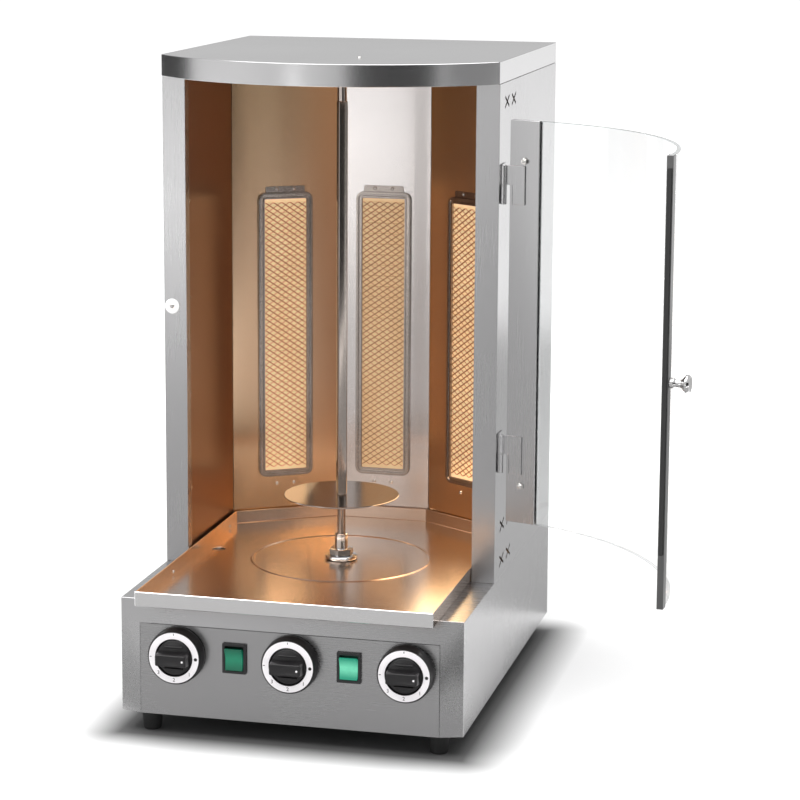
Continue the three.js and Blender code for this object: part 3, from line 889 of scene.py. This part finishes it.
bearing_low, bearing_high = (height_of(corner.z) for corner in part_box("top_bearing"))
bush = on_axis([(5.2, bearing_low), (7.6, bearing_low), (8, bearing_low + 0.4), (8, 638.5),
                (11.6, 638.5), (12, 638.9), (12, 641.3), (8, 641.3), (8, bearing_high - 0.5),
                (7.5, bearing_high), (5.2, bearing_high), (5.2, bearing_low)], hollow=True)
settle(bush, "top_bearing_turned", screw_steel, part_body("top_bearing"), "polished_steel",
       "top_bearing", smooth=35)
print("spit from", round(spit_low.z, 3), "to", round(spit_high.z, 3))

# %% [markdown]
# ## Dials and knobs
# A dial is a black cup with a printed white ring on its face. The knob inside is a round skirt with
# a raised grip across it. The ring carries a dot for off, two ticks and the numbers 1 to 3 for the
# heat. Text is made a mesh before it is put in place.

# %% Dial rings and their print
KNOB_Z = middle("dial_ring_1").z
dial_low, dial_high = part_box("dial_ring_1")
dial_front, dial_back = dial_low.y, dial_high.y
DIAL_OUTER = height_of(dial_high.x - dial_low.x) / 2
DIAL_INNER = 19.0
PRINT_OUTER = 26.4
PRINT_THICKNESS = 0.12 * mm


def front_piece(profile, x, hollow=False):
    """Turned, then laid so that its height runs out of the panel from the dial's face."""
    return put(lathe(profile, 96, hollow), (x, dial_front, KNOB_Z), "-Y")


def mark(kind, x, angle, radius, size):
    """A dot, a tick or a number on the ring, at an angle clockwise from 3 o'clock."""
    deselect()
    across, down = radius * mm * math.cos(angle), radius * mm * math.sin(angle)
    place = Vector((x + across, dial_front - 0.16 * mm, KNOB_Z - down))
    if kind == "dot":
        bpy.ops.mesh.primitive_cylinder_add(vertices=24, radius=size * mm, depth=PRINT_THICKNESS,
                                            rotation=(math.pi / 2, 0, 0))
        made = bpy.context.object
    elif kind == "tick":
        bpy.ops.mesh.primitive_cube_add(size=1)
        made = bpy.context.object
        made.scale = (2.0 * size * mm, PRINT_THICKNESS, 0.7 * size * mm)
        made.rotation_euler = (0, angle, 0)
        bpy.ops.object.transform_apply(location=False, rotation=True, scale=True)
    else:
        bpy.ops.object.text_add(rotation=(math.pi / 2, 0, 0))
        made = bpy.context.object
        made.data.body, made.data.size, made.data.extrude = kind, size * mm, PRINT_THICKNESS / 2
        made.data.align_x, made.data.align_y = "CENTER", "CENTER"
        bpy.ops.object.convert(target="MESH")
        made = bpy.context.object
    made.location = place
    pick(made)
    bpy.ops.object.transform_apply(location=True, rotation=True, scale=True)
    return made


for number in (1, 2, 3):
    node = f"dial_ring_{number}"
    x = middle(node).x
    body = part_body(node)
    back = height_of(dial_front - dial_back)
    cup = front_piece([(DIAL_INNER, back), (DIAL_OUTER - 1.2, back), (DIAL_OUTER, back + 1.0),
                       (DIAL_OUTER, back + 5.5), (DIAL_OUTER - 0.5, back + 6.2),
                       (DIAL_OUTER - 0.5, -1.8), (DIAL_OUTER - 1.4, -0.1), (DIAL_INNER + 0.6, -0.1),
                       (DIAL_INNER, -0.8), (DIAL_INNER, back)], x, hollow=True)
    settle(cup, f"dial_cup_{number}", black_plastic, body, "black_plastic", node, smooth=40)
    ring = front_piece([(DIAL_INNER + 0.9, -0.1), (PRINT_OUTER, -0.1), (PRINT_OUTER, 0.1),
                        (DIAL_INNER + 0.9, 0.1), (DIAL_INNER + 0.9, -0.1)], x, hollow=True)
    settle(ring, f"dial_print_{number}", dial_print, body, "dial_white", smooth=30)
    marks = [mark("dot", x, 0, 23.2, 1.7)]
    marks += [mark("tick", x, angle, 24.6, 1.0) for angle in (-math.pi / 2, math.pi)]
    marks += [mark(str(step), x, math.pi / 4 * step, 23.2, 5.4) for step in (1, 2, 3)]
    settle(joined(marks), f"dial_marks_{number}", black_print, body, "black_plastic", smooth=30)

# %% [markdown]
# ### The grip
# The grip is a thick bar. A cube is stretched, its front face is drawn in and inset, and its edges
# are rounded with a bevel, so that they catch the light as moulded grips do. A low cheek lies on the
# skirt at each side of it, and a small white dot marks the end that points.

# %% Knobs
for number in (1, 2, 3):
    node = f"knob_{number}"
    x = middle(node).x
    body = part_body(node)
    skirt = front_piece([(3.9, -14.5), (3.9, -6), (18.4, -6), (18.4, -1.2), (17.6, -0.4), (15.8, 0.2),
                         (0.05, 0.5)], x)
    grip = block((x, dial_front - 5 * mm, KNOB_Z), (34.5 * mm, 16 * mm, 14.5 * mm))
    edit(grip, everything=False)
    select_faces(grip, lambda centre, normal: normal.y < -0.9)
    bpy.ops.transform.resize(value=(0.93, 1, 0.80), center_override=(x, 0, KNOB_Z))
    bpy.ops.mesh.inset(thickness=2.0 * mm)
    bpy.ops.transform.translate(value=(0, 0.9 * mm, 0))
    leave_edit()
    modify(grip, "BEVEL", width=1.7 * mm, segments=4, limit_method="ANGLE", angle_limit=SHARP)
    cheeks = []
    for side in (-1, 1):
        cheek_middle = (x, dial_front - 0.8 * mm, KNOB_Z + side * 11.5 * mm)
        cheek = block(cheek_middle, (20 * mm, 3.0 * mm, 2.4 * mm))
        modify(cheek, "BEVEL", width=0.9 * mm, segments=3)
        cheeks.append(cheek)
    knob = joined([skirt, grip, *cheeks])
    modify(knob, "WEIGHTED_NORMAL", keep_sharp=True)
    settle(knob, f"knob_moulded_{number}", black_plastic, body, "black_plastic", node, smooth=40)
    deselect()
    bpy.ops.mesh.primitive_cylinder_add(
        vertices=24, radius=1.1 * mm, depth=0.3 * mm, rotation=(math.pi / 2, 0, 0),
        location=(x + 12.6 * mm, dial_front - 12.2 * mm, KNOB_Z))
    pointer = bpy.context.object
    modify(pointer, "BEVEL", width=0.08 * mm, segments=1)
    settle(pointer, f"knob_dot_{number}", dial_print, body, "dial_white")
    skin(f"selector_switch_{number}", socket_plastic, chamfer=0.6 * mm)

# %% [markdown]
# ## Rocker switches
# A rocker is a black snap-in housing with a raised rim, and a green lens that tips in it. The lens
# keeps its V shape, with soft edges. The second one is lit more brightly than the first.

# %% Rockers
for number, finish in zip((1, 2), rocker_finishes):
    skin(f"rocker_housing_{number}", socket_plastic, chamfer=0.7 * mm, steps=3, smooth=40)
    skin(f"rocker_{number}", finish, chamfer=0.6 * mm, steps=3, smooth=40)

# %% [markdown]
# ## Feet, cable gland and catch
# These are turned pieces again. The gland has a ribbed nut, so every other side of its rim is
# pressed in. The catch is a white disc with a steel ball at its centre.

# %% Feet and gland
for row in ("front", "rear"):
    for hand in ("left", "right"):
        node = f"foot_{row}_{hand}"
        centre = middle(node)
        low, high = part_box(node)
        sole, top = height_of(low.z), height_of(high.z)
        foot = lathe([(6.0, sole + 0.8), (6.6, sole), (8.4, sole), (9.0, sole + 0.5), (9.6, sole + 3),
                      (10.6, top - 3), (11.5, top - 1), (11.5, top)], segments=48)
        put(foot, (centre.x, centre.y, 0))
        settle(foot, f"{node}_moulded", rubber, part_body(node), "rubber_black", node, smooth=35)

gland_low, gland_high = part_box("cable_gland")
gland_x, gland_z = middle("cable_gland").x, middle("cable_gland").z
inner, outer = 0.0, height_of(gland_high.y - gland_low.y)
GLAND_SIDES = 48
gland = lathe([(4, inner), (7.6, inner), (7.6, 9.3), (10.6, 9.3), (11, 9.8), (11, 15.4), (10.4, 16),
               (8.2, 16.2), (8, 18), (7, outer - 0.8), (6.2, outer), (4, outer), (4, inner)],
              segments=GLAND_SIDES, hollow=True)


def every_other_side(centre, normal):
    """Whether a face is an odd one of the nut's upright sides."""
    on_nut = 9.9 * mm < centre.z < 15.3 * mm and Vector((centre.x, centre.y)).length > 10 * mm
    number = int(round(math.atan2(centre.y, centre.x) / (math.tau / GLAND_SIDES) - 0.5))
    return on_nut and abs(normal.z) < 0.2 and number % 2


edit(gland, everything=False)
select_faces(gland, every_other_side)
bpy.ops.mesh.inset(thickness=0.15 * mm, use_individual=True)
bpy.ops.transform.shrink_fatten(value=-0.6 * mm)
leave_edit()
put(gland, (gland_x, gland_low.y, gland_z), "Y")
settle(gland, "cable_gland_ribbed", socket_plastic, part_body("cable_gland"), "black_plastic",
       "cable_gland", smooth=35)

# %% Catch
catch_place = (middle("door_catch").x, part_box("door_catch")[1].y, middle("door_catch").z)
washer = lathe([(2.6, 0), (7.6, 0), (8, 0.4), (7.8, 0.9), (7.0, 1.4), (3.4, 1.5), (2.6, 1.1), (2.6, 0)],
               64, hollow=True)
put(washer, catch_place, "-Y")
settle(washer, "door_catch_washer", white_plastic, part_body("door_catch"), "dial_white",
       "door_catch", smooth=40)
ball = put(lathe(dome(2.8, 2.25, steps=8, skirt=0.3), 48), catch_place, "-Y")
settle(ball, "door_catch_ball", screw_steel, part_body("door_catch"), "polished_steel", smooth=40)

# %% [markdown]
# ## The door
# The glass keeps its curved shape with a ground edge. The metal clamp carries two bolts, each with a
# cross-recess head outside and a flanged nut inside. The pull knob is a waisted button on a stem.
# The door is drawn open, so the way out of the glass is worked out from the middles of the outer
# and the inner clamp strip.

# %% Door glass and hardware
skin("door_glass", door_glass, chamfer=0.5 * mm, steps=2, smooth=40)
outer_middle = middle("door_clamp_outer")
inner_middle = middle("door_clamp_inner")
outwards = outer_middle - inner_middle
outwards.z = 0
outwards.normalize()
BOLT_HEIGHTS = (0.226, 0.564)


def clamp_places(centre, facing):
    """Where the two bolts leave a clamp strip, and which way they face."""
    return [(Vector((centre.x, centre.y, z)) + facing * 0.6 * mm, facing) for z in BOLT_HEIGHTS]


screws("door_clamp_bolts", part_body("door_glass"), clamp_places(outer_middle, outwards), 1.7)
nuts = []
for place, facing in clamp_places(inner_middle, -outwards):
    made = lathe([(4.0, 0), (4.0, 0.6), (3.5, 0.6), (3.5, 2.6), (3.0, 3.0), (1.9, 3.0), (1.7, 3.6),
                  (0.05, 3.8)], segments=6)
    made.matrix_world = Matrix.Translation(place) @ facing.to_track_quat("Z", "Y").to_matrix().to_4x4()
    nuts.append(made)
settle(joined(nuts), "door_clamp_nuts", screw_steel, part_body("door_glass"), "polished_steel", smooth=35)

skin("door_knob", chrome, chamfer=0.5 * mm, steps=2, smooth=45)
bpy.data.objects.remove(screw_master)
print("door faces out along", [round(x, 2) for x in outwards])
print("CAD nodes shown as they are:", sum(not node.hide_render for node in frame["nodes"].values()))

# %% [markdown]
# ## The studio
# Steel shows what stands around it, so the studio matters as much as the material. The room is white
# with a pale floor. A painted contact shadow darkens the floor close to the base, and a painted glow,
# its emission, brightens it further out. Large soft lamps stand above, at the left and behind, and
# two small ones, low in front, are aimed into the chamber. Grey cards that the camera cannot see
# stand around the oven and lie on the floor, to give the steel something darker to mirror. Two small
# warm lamps hang low over the tray and add the heaters' glow.

# %% Floor and room
floor_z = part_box("foot_front_left")[0].z
deselect()
bpy.ops.mesh.primitive_plane_add(size=30, location=(0, 0, floor_z - 0.2 * mm))
floor = bpy.context.object
floor.name = "studio_floor"
floor_finish = Finish("studio_floor", roughness=0.9, emission_strength=1.0)
base_low, base_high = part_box("base_shell")


def beyond(letter, low, high):
    """How far a point of the floor lies outside the base along one axis."""
    centre, half = (low + high) / 2, (high - low) / 2
    offset = floor_finish.axis(letter) - centre
    past = offset.math("ABSOLUTE", offset) - half
    return past.math("MAXIMUM", past, 0.0)


across, along = beyond("X", base_low.x, base_high.x), beyond("Y", base_low.y, base_high.y)
distance = across.math("SQRT", across * across + along * along)
bright = (0.92, 0.92, 0.92)
# Painted contact shadow: the floor's colour turns dark within 5 cm of the base. Painted glow: its emission
# rises from 0.15 m to 1 m out.
floor_finish.set(
    base_color=floor_finish.mix(distance.fade(0.0, 0.05), (0.12, 0.12, 0.12), bright),
    emission_color=floor_finish.mix(distance.fade(0.15, 1.0), (0, 0, 0), (0.5, 0.5, 0.5)),
)
floor.data.materials.append(floor_finish.material)

world = bpy.data.worlds.new("studio_air")
bpy.context.scene.world = world
world.use_nodes = True
bpy.context.scene.view_settings.view_transform = "Standard"
air = world.node_tree
sky = air.nodes["Background"]
sky.inputs["Color"].default_value = (1, 1, 1, 1)
sky.inputs["Strength"].default_value = 0.62
backdrop = air.nodes.new("ShaderNodeBackground")
backdrop.inputs["Color"].default_value = (1, 1, 1, 1)
backdrop.inputs["Strength"].default_value = 1.02
chooser, path = air.nodes.new("ShaderNodeMixShader"), air.nodes.new("ShaderNodeLightPath")
air.links.new(path.outputs["Is Camera Ray"], chooser.inputs[0])
air.links.new(sky.outputs[0], chooser.inputs[1])
air.links.new(backdrop.outputs[0], chooser.inputs[2])
air.links.new(chooser.outputs[0], air.nodes["World Output"].inputs["Surface"])


def lamp(name, place, target, size, power, colour=(1, 1, 1)):
    data = bpy.data.lights.new(name, "AREA")
    data.shape, data.size, data.size_y = "RECTANGLE", size[0], size[1]
    data.energy, data.color = power, colour
    made = bpy.data.objects.new(name, data)
    bpy.context.scene.collection.objects.link(made)
    made.location = place
    made.rotation_euler = (Vector(target) - Vector(place)).to_track_quat("-Z", "Y").to_euler()
    made.visible_camera = False


CHAMBER = Vector((0, 0, 0.38))


def around(angle, reach, height):
    """A place on the floor plan: the angle is from straight ahead, plus to the right."""
    turned = math.radians(angle)
    return Vector((reach * math.sin(turned), -reach * math.cos(turned), height))


def card(name, place, size, shade, lying=False):
    """A matt board that only reflections see, standing to face the oven or lying on the floor."""
    deselect()
    bpy.ops.mesh.primitive_plane_add(size=1, location=place)
    board = bpy.context.object
    board.name = name
    board.scale = (size[0], size[1], 1)
    if not lying:
        level = Vector((CHAMBER.x, CHAMBER.y, place.z)) - place
        board.rotation_euler = level.to_track_quat("Z", "Y").to_euler()
    board_finish = Finish(name, roughness=1.0)
    cloud = board_finish.noise(2.0)
    board_finish.set(base_color=board_finish.mix(cloud, (shade,) * 3, (shade * 1.1,) * 3))
    board.data.materials.append(board_finish.material)
    board.visible_camera = board.visible_diffuse = False
    board.visible_shadow = board.visible_transmission = False


lamp("top_lamp", (0.0, -0.4, 2.6), CHAMBER, (3.2, 3.2), 95)
lamp("left_lamp", (-1.6, -1.2, 2.2), CHAMBER, (1.0, 1.6), 14)
lamp("strip_lamp", around(-22, 3.0, 0.14), (0, 0, 0.3), (0.26, 0.30), 1.3)
lamp("slit_lamp", (-0.69, -3.0, 0.08), (0.045, 0.158, 0.55), (0.03, 0.24), 0.16)
WARM = (1.0, 0.70, 0.40)
lamp("right_glow", (0.09, 0.03, 0.22), (0.09, 0.0, 0.05), (0.06, 0.16), 0.12, WARM)
lamp("left_glow", (-0.09, 0.03, 0.22), (-0.09, 0.0, 0.05), (0.06, 0.16), 0.02, WARM)
lamp("side_lamp", (1.05, 3.6, 0.35), (0.18, 0.1, 0.35), (2.4, 1.2), 0.9)
card("card_left", around(-104, 2.2, 0.6), (1.5, 1.8), 0.02)
card("card_right_front", around(29, 3.2, 0.6), (2.8, 2.0), 0.02)
card("card_right_side", around(74, 3.0, 0.6), (2.0, 2.0), 0.18)
FLOOR_CARDS = (
    ("right", (1.35, -2.3), (1.9, 1.7), 0.02),
    ("near", (-0.3, -0.63), (3.4, 0.74), 0.28),
    ("mid", (-0.9, -1.75), (2.6, 1.5), 0.30),
    ("far", (-1.2, -3.6), (2.6, 2.2), 0.30),
    ("behind", (0.9, 1.25), (2.4, 1.9), 0.42),
)
for name, (x, y), size, shade in FLOOR_CARDS:
    card(f"card_floor_{name}", Vector((x, y, floor_z + 1 * mm)), size, shade, lying=True)
